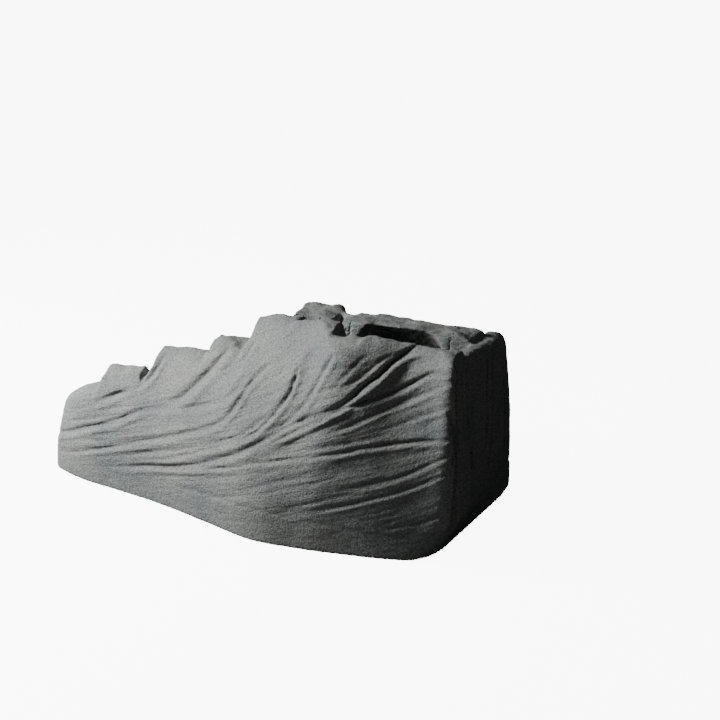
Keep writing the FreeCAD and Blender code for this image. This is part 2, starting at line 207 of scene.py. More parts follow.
# Folds in the front, from the high end down: width in metres, then (x, z, depth in millimetres).
# Depths below zero stand proud.
FOLDS = (
    (0.005, ((0.395, 0.392, 3), (0.350, 0.386, 8), (0.325, 0.374, 9), (0.300, 0.352, 11),
             (0.285, 0.332, 11), (0.262, 0.316, 9), (0.235, 0.285, 7), (0.195, 0.262, 5),
             (0.145, 0.236, 4), (0.075, 0.190, 4), (0.030, 0.158, 4), (-0.060, 0.112, 4),
             (-0.150, 0.080, 3), (-0.240, 0.058, 2), (-0.340, 0.033, 1))),
    (0.004, ((0.430, 0.362, 3), (0.385, 0.352, 5), (0.362, 0.336, 7), (0.328, 0.314, 6),
             (0.278, 0.295, 6), (0.227, 0.275, 6), (0.170, 0.238, 5), (0.120, 0.206, 5),
             (0.060, 0.168, 3))),
    (0.005, ((0.430, 0.350, 3), (0.385, 0.321, 5), (0.340, 0.297, 3), (0.300, 0.276, 3),
             (0.250, 0.250, 3), (0.195, 0.220, 2))),
    (0.004, ((0.430, 0.244, 6), (0.355, 0.228, 5), (0.280, 0.212, 4), (0.245, 0.200, 4),
             (0.190, 0.185, 2), (0.138, 0.169, 2), (0.066, 0.150, 3), (0.026, 0.136, 4))),
    (0.004, ((0.428, 0.212, 4), (0.360, 0.170, 3), (0.295, 0.145, 3), (0.230, 0.125, 2))),
    (0.004, ((0.432, 0.180, 4), (0.360, 0.142, 4), (0.296, 0.117, 3), (0.240, 0.096, 3),
             (0.165, 0.076, 1))),
    (0.004, ((0.425, 0.305, 3), (0.370, 0.272, 3), (0.310, 0.246, 2), (0.240, 0.226, 1))),
    (0.003, ((0.418, 0.093, 4), (0.365, 0.070, 3), (0.300, 0.058, 1))),
    (0.004, ((0.442, 0.070, 2), (0.380, 0.047, 2), (0.335, 0.046, 2), (0.260, 0.053, 1),
             (0.166, 0.060, 1), (0.063, 0.065, 1), (-0.060, 0.058, 2), (-0.190, 0.044, 1),
             (-0.370, 0.028, 1))),
    (0.005, ((0.007, 0.270, 2), (-0.019, 0.240, 3), (-0.058, 0.217, 3), (-0.133, 0.189, 4),
             (-0.221, 0.171, 4), (-0.251, 0.157, 5), (-0.290, 0.134, 5), (-0.353, 0.112, 5),
             (-0.444, 0.074, 3))),
    (0.005, ((0.053, 0.309, 3), (0.034, 0.292, 5), (0.014, 0.268, 6), (-0.009, 0.219, 6),
             (-0.040, 0.186, 5), (-0.102, 0.158, 4), (-0.167, 0.131, 4), (-0.281, 0.090, 3),
             (-0.325, 0.073, 4), (-0.450, 0.035, 4))),
    (0.004, ((0.026, 0.130, 2), (-0.022, 0.116, 4), (-0.060, 0.104, 3), (-0.132, 0.084, 4),
             (-0.241, 0.058, 3), (-0.342, 0.033, 2))),
    (0.004, ((0.116, 0.323, 5), (0.118, 0.297, 5), (0.109, 0.264, 4), (0.069, 0.210, 4),
             (0.028, 0.180, 5), (-0.069, 0.132, 4), (-0.192, 0.080, 2))),
    (0.008, ((-0.068, 0.304, 12), (-0.078, 0.284, 10), (-0.102, 0.252, 9), (-0.130, 0.220, 8),
             (-0.154, 0.198, 7), (-0.200, 0.178, 4))),
    (0.005, ((-0.261, 0.192, 4), (-0.295, 0.183, 8), (-0.315, 0.173, 9), (-0.350, 0.158, 6))),
    (0.005, ((-0.222, 0.255, 7), (-0.229, 0.236, 7), (-0.236, 0.216, 6), (-0.262, 0.196, 3))),
    (0.005, ((-0.006, 0.328, 7), (-0.014, 0.309, 6), (-0.028, 0.287, 4))),
    (0.004, ((0.105, 0.263, 3), (0.065, 0.222, 3), (0.022, 0.185, 4), (-0.059, 0.145, 3),
             (-0.169, 0.105, 3), (-0.292, 0.068, 2), (-0.399, 0.036, 2))),
    (0.005, ((0.200, 0.365, 5), (0.190, 0.350, 6), (0.171, 0.312, 5), (0.156, 0.275, 4),
             (0.125, 0.235, 3), (0.078, 0.200, 2))),
    (0.004, ((0.264, 0.373, 3), (0.234, 0.342, 3), (0.203, 0.302, 2))),
    (0.003, ((0.314, 0.379, 3), (0.284, 0.358, 3), (0.257, 0.334, 2), (0.232, 0.305, 1))),
    (0.018, ((0.216, 0.381, -2), (0.165, 0.371, -6), (0.136, 0.356, -8), (0.125, 0.340, -8),
             (0.114, 0.317, -7), (0.100, 0.285, -6), (0.085, 0.250, -4), (0.060, 0.215, -2))),
    (0.016, ((0.000, 0.305, -6), (-0.020, 0.262, -7), (-0.045, 0.218, -4))),
    (0.013, ((0.330, 0.352, -3), (0.300, 0.322, -4), (0.262, 0.300, -3), (0.215, 0.272, -2))),
)

CORNER_TUCK = 0.045
TUCK_HEIGHT = 0.16
CORNER_TURN = (0.8, -0.6)
CORNER_REACH = 0.458
CLIFF = 4.0

HOOD_LOW, HOOD_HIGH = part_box("niche_hood")
PORT_LOW, PORT_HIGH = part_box("hose_connector")
GASKET_LOW, GASKET_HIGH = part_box("flange_gasket")
PORT = Vector(((PORT_LOW.x + PORT_HIGH.x) / 2, GASKET_HIGH.y, (PORT_LOW.z + PORT_HIGH.z) / 2))
NICHE_LOW = Vector((HOOD_LOW.x + 0.014, 0.030, 0.226))
NICHE_HIGH = Vector((HOOD_HIGH.x - 0.014, PORT.y, HOOD_LOW.z))


BROW_Y = 0.047
BROW_Z = 0.368


def axis_of(low, high):
    return np.arange(math.floor(low / GRID) - 2, math.ceil(high / GRID) + 3) * GRID


AXES = [axis_of(CAD_LOW[i], CAD_HIGH[i]) for i in range(3)]
PLAN_X, PLAN_Y = np.meshgrid(AXES[0], AXES[1], indexing="ij")


def stepped(column, x):
    """A terrace value along x, changing at each terrace's right edge."""
    values = np.full(x.shape, TERRACES[-1][column], float)
    for edge, near, far, floor in reversed(TERRACES[:-1]):
        values = np.where(x < edge, (edge, near, far, floor)[column], values)
    return values


def boulder_height(x, y, boulder):
    cx, cy, half_x, half_y, top, tilt_x, tilt_y, turn = boulder
    c, s = math.cos(math.radians(turn)), math.sin(math.radians(turn))
    u = c * (x - cx) + s * (y - cy)
    v = -s * (x - cx) + c * (y - cy)
    du, dv = np.abs(u) - half_x, np.abs(v) - half_y
    outside = np.hypot(np.maximum(du, 0), np.maximum(dv, 0)) + np.minimum(np.maximum(du, dv), 0)
    crown = 0.10 * np.maximum(outside + 0.03, 0)
    return top + tilt_x * u + tilt_y * v - crown - CLIFF * np.maximum(outside, 0)


def top_surface():
    """Height of the rock's upper faces over the plan."""
    wander = 0.006
    x = PLAN_X + wander * plan_noise(PLAN_X, PLAN_Y, 0.07, 3, SEED)
    y = PLAN_Y + wander * plan_noise(PLAN_X, PLAN_Y, 0.06, 3, SEED + 10)
    floor = stepped(3, x)
    height = floor.copy()
    for boulder in BOULDERS:
        height = smooth_max(height, boulder_height(x, y, boulder), 0.010)
    rim_y, rim_z = RIM_Y(x), RIM_Z(x)
    behind = rim_z - 0.006 - 0.52 * np.maximum(y - rim_y, 0) - CLIFF * np.maximum(rim_y - y, 0)
    height = smooth_max(height, behind, 0.010)
    height += 0.0035 * plan_noise(PLAN_X, PLAN_Y, 0.05, 3, SEED + 20)
    return blurred(height, 1)


def blurred(field, passes):
    for _ in range(passes):
        for axis in (0, 1):
            field = (np.roll(field, 1, axis) + 2 * field + np.roll(field, -1, axis)) / 4
    return field


def lowest_nearby(field, steps):
    """Smallest value of a plan field within some grid steps."""
    for _ in range(steps):
        low = field.copy()
        for axis in (0, 1):
            for side in (-1, 1):
                low = np.minimum(low, np.roll(field, side, axis))
        field = low
    return field


def front_face(x, z):
    """y of the front at x and z: upright at the foot and leaning back to the ridge."""
    foot, ridge = FOOT(x), RIDGE_Y(x)
    rise = np.clip(z / RIDGE_Z(x), 0, 1.15)
    return foot + (ridge - foot) * (0.12 * rise + 0.88 * rise ** 2.6)


def eased(points):
    """A fold's line with its corners cut, running out to nothing at ends that stop on the front."""
    line = np.array(points, float)
    if abs(line[0, 0]) < 0.40:
        line[0, 2] = 0
    if abs(line[-1, 0]) < 0.40:
        line[-1, 2] = 0
    for _ in range(2):
        quarter = 0.75 * line[:-1] + 0.25 * line[1:]
        three = 0.25 * line[:-1] + 0.75 * line[1:]
        inner = np.stack([quarter, three], axis=1).reshape(-1, 3)
        line = np.concatenate([line[:1], inner, line[-1:]])
    return line


def curve_fields(x, z):
    """Depth of the folds over a grid of the front, and the way that they run."""
    depth = np.zeros(x.shape)
    run_x, run_z = np.zeros(x.shape), np.zeros(x.shape)
    for width, corners in FOLDS:
        points = eased(corners)
        near = np.full(x.shape, 9.0)
        deep = np.zeros(x.shape)
        above = np.zeros(x.shape)
        for (xa, za, da), (xb, zb, db) in zip(points, points[1:]):
            along_x, along_z = xb - xa, zb - za
            span = math.hypot(along_x, along_z)
            t = np.clip(((x - xa) * along_x + (z - za) * along_z) / span ** 2, 0, 1)
            away = np.hypot(x - xa - t * along_x, z - za - t * along_z)
            deep = np.where(away < near, da + t * (db - da), deep)
            side = (along_z * (x - xa) - along_x * (z - za)) / span
            above = np.where(away < near, side, above)
            near = np.minimum(near, away)
            pull = span / (away + 0.012) ** 3
            run_x += pull * along_x / span
            run_z += pull * along_z / span
        groove = np.exp(-(near / (0.8 * width)) ** 1.5)
        lip = 0.38 - 0.24 * np.tanh(above / width)
        shoulders = lip * np.exp(-((near - 2.0 * width) / (1.2 * width)) ** 2)
        depth += 0.001 * deep * np.where(deep > 0, groove - shoulders, groove)
    strength = np.hypot(run_x, run_z)
    return depth, run_x / strength, run_z / strength


def potential(run_x, run_z, step, rounds):
    """A field over a grid whose slope follows a given field of directions as well as it can."""
    gx = np.pad(run_x, 1, mode="edge")
    gz = np.pad(run_z, 1, mode="edge")
    source = (gx[2:, 1:-1] - gx[:-2, 1:-1] + gz[1:-1, 2:] - gz[1:-1, :-2]) * step / 2
    value = np.zeros(run_x.shape)
    for _ in range(rounds):
        padded = np.pad(value, 1, mode="edge")
        padded[0, 1:-1] -= step * run_x[0]
        padded[-1, 1:-1] += step * run_x[-1]
        padded[1:-1, 0] -= step * run_z[:, 0]
        padded[1:-1, -1] += step * run_z[:, -1]
        around = padded[2:, 1:-1] + padded[:-2, 1:-1] + padded[1:-1, 2:] + padded[1:-1, :-2]
        value = (around - source) / 4
    return value - value.mean()


def flow_coordinates():
    """Distance across and along the flow lines over the front, on a coarse grid."""
    step = 0.012
    x, z = np.meshgrid(np.arange(-0.48, 0.49, step), np.arange(-0.02, 0.43, step), indexing="ij")
    _, run_x, run_z = curve_fields(x, z)
    across = potential(-run_z, run_x, step, 4000)
    along = potential(run_x, run_z, step, 4000)
    return step, across, along


FLOW_STEP, FLOW_ACROSS, FLOW_ALONG = flow_coordinates()


def flow_at(grid, x, z):
    """A coarse flow field read at any x and z on the front."""
    u = np.clip((x + 0.48) / FLOW_STEP, 0, grid.shape[0] - 1.001)
    v = np.clip((z + 0.02) / FLOW_STEP, 0, grid.shape[1] - 1.001)
    i, j = u.astype(int), v.astype(int)
    u, v = u - i, v - j
    low = grid[i, j] * (1 - u) + grid[i + 1, j] * u
    high = grid[i, j + 1] * (1 - u) + grid[i + 1, j + 1] * u
    return low * (1 - v) + high * v


def creased(across, along, width, length, seed):
    """Long rounded strands with sharp creases between them, 0 on a strand and -1 in a crease."""
    flat = np.stack([across.ravel() / width, along.ravel() / length, np.zeros(across.size)], axis=1)
    noise = perlin(flat, 1.0, seed).reshape(across.shape)
    return -np.clip(1 - 4.0 * np.abs(noise), 0, 1) ** 1.5


def front_relief(x, z):
    """How far the front stands out, in metres, for its folds and flow lines."""
    depth, _, _ = curve_fields(x, z)
    across, along = flow_at(FLOW_ACROSS, x, z), flow_at(FLOW_ALONG, x, z)
    broad = creased(across, along, 0.030, 0.22, SEED + 31)
    middle = creased(across, along, 0.014, 0.13, SEED + 32)
    fine = creased(across, along, 0.008, 0.08, SEED + 33)
    patch = 0.6 + 0.5 * plan_noise(x, z, 0.11, 2, SEED + 34)
    band = smoothstep(0.030, 0.075, z)
    swell = plan_noise(x, z, 0.12, 2, SEED + 35)
    patch = np.clip(patch, 0.15, 1.2)
    lines = 0.0018 * broad + 0.0018 * middle * patch + 0.0010 * fine * patch
    near_corner = 1 - 0.65 * smoothstep(0.34, 0.43, x)
    return band * near_corner * (lines - depth) + 0.0015 * swell - 0.0006 * (1 - band)


def end_relief(y, z):
    """How far the tall end stands out, for its upright streaks and the crease above its foot."""
    bend = y + 0.010 * plan_noise(y, z, 0.10, 2, SEED + 41)
    broad = creased(bend, z, 0.040, 0.30, SEED + 42)
    middle = creased(bend, z, 0.015, 0.12, SEED + 43)
    crease_z = 0.052 + 0.010 * plan_noise(y, 0 * y, 0.12, 2, SEED + 44)
    crease = np.exp(-((z - crease_z) / 0.005) ** 2)
    return smoothstep(0.05, 0.10, z) * (0.003 * broad + 0.0015 * middle) - 0.004 * crease


def right_face(y, z):
    depth = np.clip((y - CAD_LOW.y) / 0.36, 0, 1)
    tuck = 0.052 * (1 - depth)
    lean = 0.012 * smoothstep(0.15, 0.39, z)
    return CAD_HIGH.x - 0.004 - lean - tuck * (1 - smoothstep(0.0, 0.085, z))


def back_face(x, z):
    return BACK(x) - 0.004 - 0.10 * z ** 2 / 0.39 - 0.02 * z


def left_face(y, z):
    return CAD_LOW.x + 0.002 + 0.9 * z ** 2 + 0.2 * np.maximum(y, 0) ** 1.5


def walls(inset):
    """The rock's sides as a field over the grid: negative inside, zero on the face."""
    gx, gy, gz = AXES
    xz_x, xz_z = np.meshgrid(gx, gz, indexing="ij")
    yz_y, yz_z = np.meshgrid(gy, gz, indexing="ij")
    face = front_face(xz_x, xz_z) - front_relief(xz_x, xz_z)
    slope_x, slope_z = np.gradient(face, GRID)
    inset_front = inset * np.sqrt(1 + np.minimum(slope_x ** 2 + slope_z ** 2, 6))
    front = (face + inset_front)[:, None, :] - gy[None, :, None]
    back = gy[None, :, None] - (back_face(xz_x, xz_z) - inset)[:, None, :]
    end = right_face(yz_y, yz_z) + end_relief(yz_y, yz_z)
    right = gx[:, None, None] - (end - inset)[None, :, :]
    left = (left_face(yz_y, yz_z) + inset)[None, :, :] - gx[:, None, None]
    field = smooth_max(smooth_max(front, right, 0.030), left, 0.014)
    field = smooth_max(field, back, 0.05)
    tuck = CORNER_TUCK * np.clip(1 - gz / TUCK_HEIGHT, 0, 1) ** 2
    corner = CORNER_TURN[0] * gx[:, None, None] + CORNER_TURN[1] * gy[None, :, None]
    corner = corner - (CORNER_REACH - tuck - inset)[None, None, :]
    return smooth_max(field, corner, 0.02).astype(np.float32)


def box_field(low, high, rounding=0.0):
    """A box as a field over the grid, negative inside."""
    gx, gy, gz = AXES
    sides = []
    for axis, values in enumerate((gx[:, None, None], gy[None, :, None], gz[None, None, :])):
        sides.append(np.abs(values - (low[axis] + high[axis]) / 2) - (high[axis] - low[axis]) / 2)
    if rounding:
        return smooth_max(smooth_max(sides[0], sides[1], rounding), sides[2], rounding)
    return np.maximum(np.maximum(sides[0], sides[1]), sides[2])


def niche_field(margin):
    """The niche, with the brow above it cut back on a slope."""
    low = NICHE_LOW - Vector((margin, margin, margin))
    high = NICHE_HIGH + Vector((margin, margin, margin))
    gx, gy, gz = AXES[0][:, None, None], AXES[1][None, :, None], AXES[2][None, None, :]
    slope = 0.9
    brow = (gy - BROW_Y - slope * (BROW_Z - gz)) / math.hypot(1, slope) - margin
    ends = np.abs(gx - (low.x + high.x) / 2) - (high.x - low.x) / 2
    wedge = smooth_max(smooth_max(brow, ends, 0.050), gz - BROW_Z, 0.010)
    wedge = np.maximum(wedge, np.maximum(low.y - gy, NICHE_HIGH.z - 0.02 - gz))
    return np.minimum(box_field(low, high, 0.012), wedge)


def channel_region():
    """The space that the stream tray takes, within its own side walls and under the rim lips."""
    gz = AXES[2][None, None, :]
    near = np.minimum(stepped(1, PLAN_X - WALL), stepped(1, PLAN_X + WALL))
    far = np.maximum(stepped(2, PLAN_X - WALL), stepped(2, PLAN_X + WALL))
    side = np.maximum(near - WALL - PLAN_Y, PLAN_Y - far - WALL)
    side = np.maximum(side, PLAN_X - TERRACES[-1][0] - WALL)
    lip = np.where(PLAN_Y < (near + far) / 2, RIDGE_Z(PLAN_X), RIM_Z(PLAN_X)) - 0.020
    under = lowest_nearby(stepped(3, PLAN_X), 3) - WALL - 0.001
    region = np.maximum(side[:, :, None], np.maximum(gz - lip[:, :, None], under[:, :, None] - gz))
    return np.minimum(region, niche_field(WALL))


# --- Fields to meshes -----------------------------------------------------------------------


def surface_mesh(field):
    """Vertices and quads of a field's zero surface, one vertex in each cell that it crosses."""
    inside = field < 0
    shape = field.shape
    cells = tuple(n - 1 for n in shape)
    crossings = []
    for axis in range(3):
        a = [slice(None)] * 3
        b = [slice(None)] * 3
        a[axis], b[axis] = slice(0, -1), slice(1, None)
        changed = inside[tuple(a)] != inside[tuple(b)]
        spots = np.argwhere(changed)
        others = [k for k in range(3) if k != axis]
        keep = np.all((spots[:, others] > 0) & (spots[:, others] < np.array(shape)[others] - 1), axis=1)
        spots = spots[keep]
        ends = spots.copy()
        ends[:, axis] += 1
        va, vb = field[tuple(spots.T)], field[tuple(ends.T)]
        where = spots.astype(float)
        where[:, axis] += va / (va - vb)
        crossings.append((axis, others, spots, where, inside[tuple(spots.T)]))
    total = np.zeros(cells + (3,), np.float32)
    count = np.zeros(cells, np.float32)
    around = ((0, 0), (-1, 0), (-1, -1), (0, -1))
    for axis, others, spots, where, _ in crossings:
        for shift in around:
            cell = spots.copy()
            cell[:, others[0]] += shift[0]
            cell[:, others[1]] += shift[1]
            flat = np.ravel_multi_index(tuple(cell.T), cells)
            np.add.at(count.reshape(-1), flat, 1)
            np.add.at(total.reshape(-1, 3), flat, where)
    used = count > 0
    index = np.full(cells, -1, np.int64)
    index[used] = np.arange(used.sum())
    points = total[used] / count[used][:, None]
    quads = []
    for axis, others, spots, _, starts_inside in crossings:
        ring = []
        for shift in around:
            cell = spots.copy()
            cell[:, others[0]] += shift[0]
            cell[:, others[1]] += shift[1]
            ring.append(index[tuple(cell.T)])
        ring = np.stack(ring, axis=1)
        outward = starts_inside if axis != 1 else ~starts_inside
        ring = np.where(outward[:, None], ring, ring[:, ::-1])
        quads.append(ring)
    quads = np.concatenate(quads)
    start = np.array([a[0] for a in AXES])
    return start + points * GRID, quads


def sampled(field, points):
    """Field values at points, by weighting the eight grid values around each."""
    start = np.array([a[0] for a in AXES])
    spot = (points - start) / GRID
    cell = np.clip(np.floor(spot).astype(int), 0, np.array(field.shape) - 2)
    part = spot - cell
    total = np.zeros(len(points))
    for dx in (0, 1):
        for dy in (0, 1):
            for dz in (0, 1):
                weight = (
                    np.where(dx, part[:, 0], 1 - part[:, 0])
                    * np.where(dy, part[:, 1], 1 - part[:, 1])
                    * np.where(dz, part[:, 2], 1 - part[:, 2])
                )
                total += weight * field[cell[:, 0] + dx, cell[:, 1] + dy, cell[:, 2] + dz]
    return total


def gradient_at(field, points):
    """Unit vector out of a field's surface at points."""
    reach = GRID * 0.6
    slopes = []
    for axis in range(3):
        shift = np.zeros(3)
        shift[axis] = reach
        slopes.append(sampled(field, points + shift) - sampled(field, points - shift))
    slope = np.stack(slopes, axis=1)
    return slope / np.maximum(np.linalg.norm(slope, axis=1, keepdims=True), 1e-9)


def sharpened(points, rock, cuts):
    """Move vertices where a cut meets the rock's face onto both, so that seams stay closed."""
    points = points.copy()
    for cut in cuts:
        near = (np.abs(sampled(cut, points)) < GRID * 0.5) & (np.abs(sampled(rock, points)) < GRID * 0.5)
        spots = points[near]
        for _ in range(3):
            for field in (cut, rock):
                spots = spots - sampled(field, spots)[:, None] * gradient_at(field, spots) * 0.9
        kept = np.linalg.norm(spots - points[near], axis=1, keepdims=True) < GRID
        points[near] = np.where(kept, spots, points[near])
    return points


def worked(points, rock, hollow):
    """Work over the outer faces with ruggedness; also gives the vertex values for the material: flow
    coordinates, the streak mask and the painted shade of grooves and chips.
    """
    normal = gradient_at(rock, points)
    outer = (np.abs(sampled(rock, points)) < 0.0010) & (np.abs(sampled(hollow, points)) > 0.0015)
    outer = outer & (points[:, 2] > 0.0005)
    front = smoothstep(0.25, 0.6, -normal[:, 1])
    end = smoothstep(0.5, 0.85, normal[:, 0]) * smoothstep(0.36, 0.40, points[:, 0])
    rugged = np.clip(1 - front - end, 0, 1)
    x, y, z = points.T
    across = front * flow_at(FLOW_ACROSS, x, z) + (1 - front) * (y + 0.2 * x)
    along = front * flow_at(FLOW_ALONG, x, z) + (1 - front) * z
    rough = fractal(points, 0.050, 4, SEED + 51)
    chips = -np.clip(1 - 3 * np.abs(perlin(points + 0.004 * rough[:, None], 0.034, SEED + 52)), 0, 1) ** 2
    lines = creased(across, along, 0.0075, 0.06, SEED + 53)
    port = np.hypot(x - PORT.x, z - PORT.z)
    calm = smoothstep(0.030, 0.045, np.where(y > 0.04, port, 1.0)) * smoothstep(0.002, 0.02, z)
    rise = rugged * (0.0030 * rough + 0.0007 * chips) + (front + 0.6 * end) * 0.0006 * lines
    rise = rise + 0.0003 * rough
    rise = np.where(outer, rise * calm, 0)
    moved = points + rise[:, None] * normal
    low, high = np.array(CAD_LOW) + 0.0004, np.array(CAD_HIGH) - 0.0004
    moved = np.where(outer[:, None], np.clip(moved, low, high), points)
    depth, _, _ = curve_fields(x, z)
    # Painted shade: values that darken the colour in the fold grooves of the front and, faintly, in the
    # chips of the rugged faces.
    painted_cavity_shade = front * np.clip(depth / 0.012, 0, 1) + rugged * np.clip(-chips, 0, 1) * 0.12
    flow = np.stack([across / 0.0055, along / 0.060, 0 * across], axis=1)
    patches = np.clip(0.55 + 0.9 * perlin(points, 0.09, SEED + 54), 0.1, 1.2)
    streaked = (front + end) * patches * smoothstep(0.03, 0.08, z)
    return moved, flow, np.where(outer, streaked, 0), np.where(outer, painted_cavity_shade, 0)


def add_values(mesh, name, kind, values):
    attribute = mesh.attributes.new(name, kind, "POINT")
    key = "vector" if kind == "FLOAT_VECTOR" else "value"
    attribute.data.foreach_set(key, np.ascontiguousarray(values, np.float32).ravel())


def mesh_piece(name, points, quads):
    mesh = bpy.data.meshes.new(name)
    mesh.vertices.add(len(points))
    mesh.vertices.foreach_set("co", np.ascontiguousarray(points, np.float32).ravel())
    mesh.loops.add(quads.size)
    mesh.loops.foreach_set("vertex_index", quads.astype(np.int32).ravel())
    mesh.polygons.add(len(quads))
    mesh.polygons.foreach_set("loop_start", np.arange(0, quads.size, 4, dtype=np.int32))
    mesh.polygons.foreach_set("use_smooth", np.ones(len(quads), bool))
    mesh.update(calc_edges=True)
    mesh.validate()
    mesh.set_sharp_from_angle(angle=math.radians(68))
    piece = bpy.data.objects.new(name, mesh)
    bpy.context.scene.collection.objects.link(piece)
    return piece


# --- Materials ------------------------------------------------------------------------------


def node_material(name):
    material = bpy.data.materials.new(name)
    material.use_nodes = True
    nodes = material.node_tree.nodes
    shader = nodes["Principled BSDF"]
    return material, nodes, material.node_tree.links, shader


def texture(nodes, links, vector, scale, detail):
    noise = nodes.new("ShaderNodeTexNoise")
    noise.inputs["Scale"].default_value = scale
    noise.inputs["Detail"].default_value = detail
    links.new(vector, noise.inputs["Vector"])
    return noise.outputs["Fac"]


def remapped(nodes, links, value, from_low, from_high, to_low, to_high):
    remap = nodes.new("ShaderNodeMapRange")
    remap.inputs["From Min"].default_value = from_low
    remap.inputs["From Max"].default_value = from_high
    remap.inputs["To Min"].default_value = to_low
    remap.inputs["To Max"].default_value = to_high
    links.new(value, remap.inputs["Value"])
    return remap.outputs["Result"]


def product(nodes, links, a, b):
    times = nodes.new("ShaderNodeMath")
    times.operation = "MULTIPLY"
    links.new(a, times.inputs[0])
    links.new(b, times.inputs[1])
    return times.outputs["Value"]


def two_tone(nodes, links, factor, first, second):
    mix = nodes.new("ShaderNodeMix")
    mix.data_type = "RGBA"
    mix.inputs["A"].default_value = (*first, 1)
    mix.inputs["B"].default_value = (*second, 1)
    links.new(factor, mix.inputs["Factor"])
    return mix.outputs["Result"]


def scaled_colour(nodes, links, colour, factor):
    scale = nodes.new("ShaderNodeVectorMath")
    scale.operation = "SCALE"
    links.new(colour, scale.inputs["Vector"])
    links.new(factor, scale.inputs["Scale"])
    return scale.outputs["Vector"]


def bumped(nodes, links, height, distance, strength, normal=None):
    bump = nodes.new("ShaderNodeBump")
    bump.inputs["Distance"].default_value = distance
    bump.inputs["Strength"].default_value = strength
    links.new(height, bump.inputs["Height"])
    if normal:
        links.new(normal, bump.inputs["Normal"])
    return bump.outputs["Normal"]


def rock_material():
    """Grey resin faced with sand: mottled, grainy, and streaked along the flow lines, with painted shade
    darkening the grooves and chips.
    """
    material, nodes, links, shader = node_material("sand_faced_resin")
    shader.inputs["Roughness"].default_value = 0.92
    shader.inputs["Specular IOR Level"].default_value = 0.25
    place = nodes.new("ShaderNodeTexCoord").outputs["Object"]
    flow = nodes.new("ShaderNodeAttribute")
    flow.attribute_name = "flow"
    mask = nodes.new("ShaderNodeAttribute")
    mask.attribute_name = "streaked"
    painted_cavity_shade = nodes.new("ShaderNodeAttribute")
    painted_cavity_shade.attribute_name = "painted_cavity_shade"
    blotch = texture(nodes, links, place, 11, 6)
    sand = texture(nodes, links, place, 330, 3)
    grit = texture(nodes, links, place, 900, 1)
    streak = texture(nodes, links, flow.outputs["Vector"], 1.0, 4)
    tone = remapped(nodes, links, blotch, 0.3, 0.7, 0, 1)
    colour = two_tone(nodes, links, tone, (0.175, 0.190, 0.190), (0.232, 0.238, 0.226))
    colour = scaled_colour(nodes, links, colour, remapped(nodes, links, sand, 0.3, 0.7, 0.58, 1.42))
    colour = scaled_colour(nodes, links, colour, remapped(nodes, links, streak, 0.3, 0.7, 0.94, 1.06))
    # Painted shade: the colour is darkened to as little as 0.45 of itself where the cavity values are
    # high, in grooves and chips.
    shade = remapped(nodes, links, painted_cavity_shade.outputs["Fac"], 0, 1, 1.0, 0.45)
    colour = scaled_colour(nodes, links, colour, shade)
    links.new(colour, shader.inputs["Base Color"])
    lines = product(nodes, links, streak, mask.outputs["Fac"])
    normal = bumped(nodes, links, lines, 0.003, 1.0)
    normal = bumped(nodes, links, sand, 0.0022, 1.0, normal)
    normal = bumped(nodes, links, grit, 0.0005, 0.8, normal)
    links.new(normal, shader.inputs["Normal"])
    return material


def moulded_material():
    """Milky injection-moulded plastic with a faint haze."""
    material, nodes, links, shader = node_material("milky_plastic")
    place = nodes.new("ShaderNodeTexCoord").outputs["Object"]
    haze = texture(nodes, links, place, 60, 4)
    tone = remapped(nodes, links, haze, 0.3, 0.7, 0, 1)
    colour = two_tone(nodes, links, tone, (0.60, 0.68, 0.69), (0.70, 0.77, 0.77))
    links.new(colour, shader.inputs["Base Color"])
    links.new(remapped(nodes, links, haze, 0.3, 0.7, 0.28, 0.42), shader.inputs["Roughness"])
    grain = texture(nodes, links, place, 500, 2)
    links.new(bumped(nodes, links, grain, 0.0002, 0.5), shader.inputs["Normal"])
    return material


def rubber_material():
    material, nodes, links, shader = node_material("black_rubber")
    place = nodes.new("ShaderNodeTexCoord").outputs["Object"]
    bloom = texture(nodes, links, place, 90, 5)
    tone = remapped(nodes, links, bloom, 0.3, 0.7, 0, 1)
    colour = two_tone(nodes, links, tone, (0.012, 0.012, 0.013), (0.035, 0.035, 0.036))
    links.new(colour, shader.inputs["Base Color"])
    links.new(remapped(nodes, links, bloom, 0.3, 0.7, 0.6, 0.85), shader.inputs["Roughness"])
    links.new(bumped(nodes, links, bloom, 0.0003, 0.6), shader.inputs["Normal"])
    return material


def laminate_material():
    """Raw glass-fibre laminate: grey-green, with crossing strands under the resin."""
    material, nodes, links, shader = node_material("fibre_laminate")
    place = nodes.new("ShaderNodeTexCoord").outputs["Object"]
    strands = []
    for turn, stretch in ((0.6, (900, 60, 60)), (-0.8, (60, 60, 900))):
        mapping = nodes.new("ShaderNodeMapping")
        mapping.inputs["Rotation"].default_value = (turn, turn / 2, turn)
        mapping.inputs["Scale"].default_value = stretch
        links.new(place, mapping.inputs["Vector"])
        strands.append(texture(nodes, links, mapping.outputs["Vector"], 1.0, 3))
    weave = product(nodes, links, strands[0], strands[1])
    tone = remapped(nodes, links, weave, 0.15, 0.38, 0, 1)
    colour = two_tone(nodes, links, tone, (0.20, 0.22, 0.19), (0.34, 0.35, 0.29))
    links.new(colour, shader.inputs["Base Color"])
    links.new(remapped(nodes, links, weave, 0.15, 0.38, 0.45, 0.75), shader.inputs["Roughness"])
    links.new(bumped(nodes, links, weave, 0.0006, 0.7), shader.inputs["Normal"])
    return material


# --- The rock's pieces ----------------------------------------------------------------------


PORT_HOLE = 0.017
PORT_HOLE_REACH = 0.012
HOOD_LIP = 0.016
HOOD_ROOM = 0.04
TRAY_SPANS = ("outlet", "lower", "middle", "upper", "bend", "gate", "pool", "niche")
ROCK_NODES = {
    "rock_shell": ("rock_shell",),
    "stream_tray": tuple(f"tray_{span}" for span in TRAY_SPANS),
    "niche_hood": ("niche_hood",),
}


